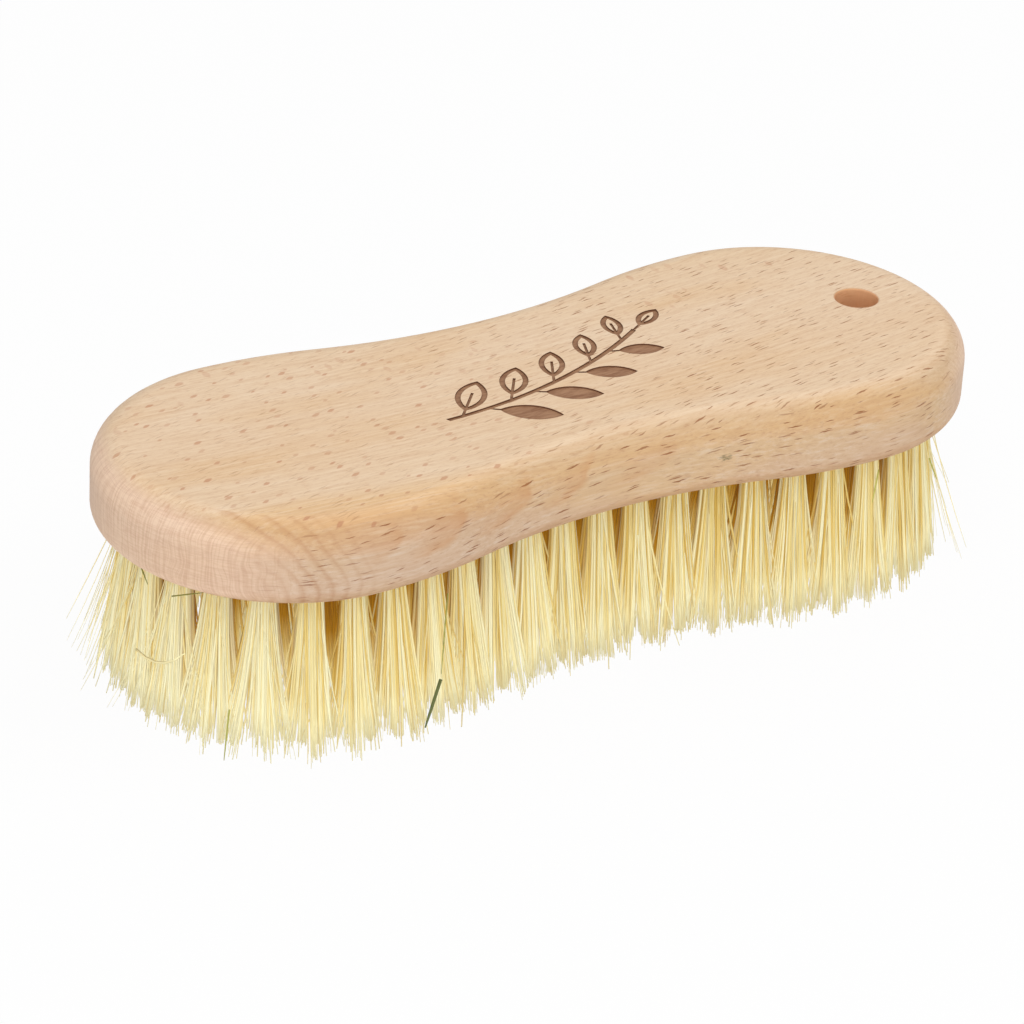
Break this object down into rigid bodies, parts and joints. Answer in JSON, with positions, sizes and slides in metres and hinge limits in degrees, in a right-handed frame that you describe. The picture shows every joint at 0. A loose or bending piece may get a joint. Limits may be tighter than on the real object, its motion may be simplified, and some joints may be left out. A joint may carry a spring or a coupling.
{
  "type": "vegetable brush",
  "caption": "Palm-held scrubbing brush: a waisted beech block with rounded edges and a hanging hole, filled with cream plant-fibre tufts that fan out to a level trim.",
  "frame": {"origin": "on the plane of the bristle tips, below the middle of the block", "axes": "+X along the block towards its hanging hole, +Z from the bristle tips up to the block"},
  "size_m": [0.15, 0.0588, 0.04],
  "materials": {
    "beech": "satin",
    "plant_fibre": "matte",
    "anchor_wire": "satin"
  },
  "bodies": {
    "root": {"anchor_wires": "anchor_wire", "ring_tuft_01": "plant_fibre", "ring_tuft_02": "plant_fibre", "ring_tuft_03": "plant_fibre", "ring_tuft_04": "plant_fibre", "ring_tuft_05": "plant_fibre", "ring_tuft_06": "plant_fibre", "ring_tuft_07": "plant_fibre", "ring_tuft_08": "plant_fibre", "ring_tuft_09": "plant_fibre", "ring_tuft_10": "plant_fibre", "ring_tuft_11": "plant_fibre", "ring_tuft_12": "plant_fibre", "ring_tuft_13": "plant_fibre", "ring_tuft_14": "plant_fibre", "ring_tuft_15": "plant_fibre", "ring_tuft_16": "plant_fibre", "ring_tuft_17": "plant_fibre", "ring_tuft_18": "plant_fibre", "ring_tuft_19": "plant_fibre", "ring_tuft_20": "plant_fibre", "ring_tuft_21": "plant_fibre", "ring_tuft_22": "plant_fibre", "ring_tuft_23": "plant_fibre", "ring_tuft_24": "plant_fibre", "ring_tuft_25": "plant_fibre", "ring_tuft_26": "plant_fibre", "ring_tuft_27": "plant_fibre", "ring_tuft_28": "plant_fibre", "ring_tuft_29": "plant_fibre", "ring_tuft_30": "plant_fibre", "ring_tuft_31": "plant_fibre", "ring_tuft_32": "plant_fibre", "ring_tuft_33": "plant_fibre", "ring_tuft_34": "plant_fibre", "ring_tuft_35": "plant_fibre", "ring_tuft_36": "plant_fibre", "ring_tuft_37": "plant_fibre", "ring_tuft_38": "plant_fibre", "ring_tuft_39": "plant_fibre", "ring_tuft_40": "plant_fibre", "ring_tuft_41": "plant_fibre", "ring_tuft_42": "plant_fibre", "ring_tuft_43": "plant_fibre", "ring_tuft_44": "plant_fibre", "ring_tuft_45": "plant_fibre", "ring_tuft_46": "plant_fibre", "ring_tuft_47": "plant_fibre", "ring_tuft_48": "plant_fibre", "tuft_row_back_inner": "plant_fibre", "tuft_row_back_outer": "plant_fibre", "tuft_row_centre": "plant_fibre", "tuft_row_front_inner": "plant_fibre", "tuft_row_front_outer": "plant_fibre", "wood_block": "beech"}
  },
  "joints": []
}
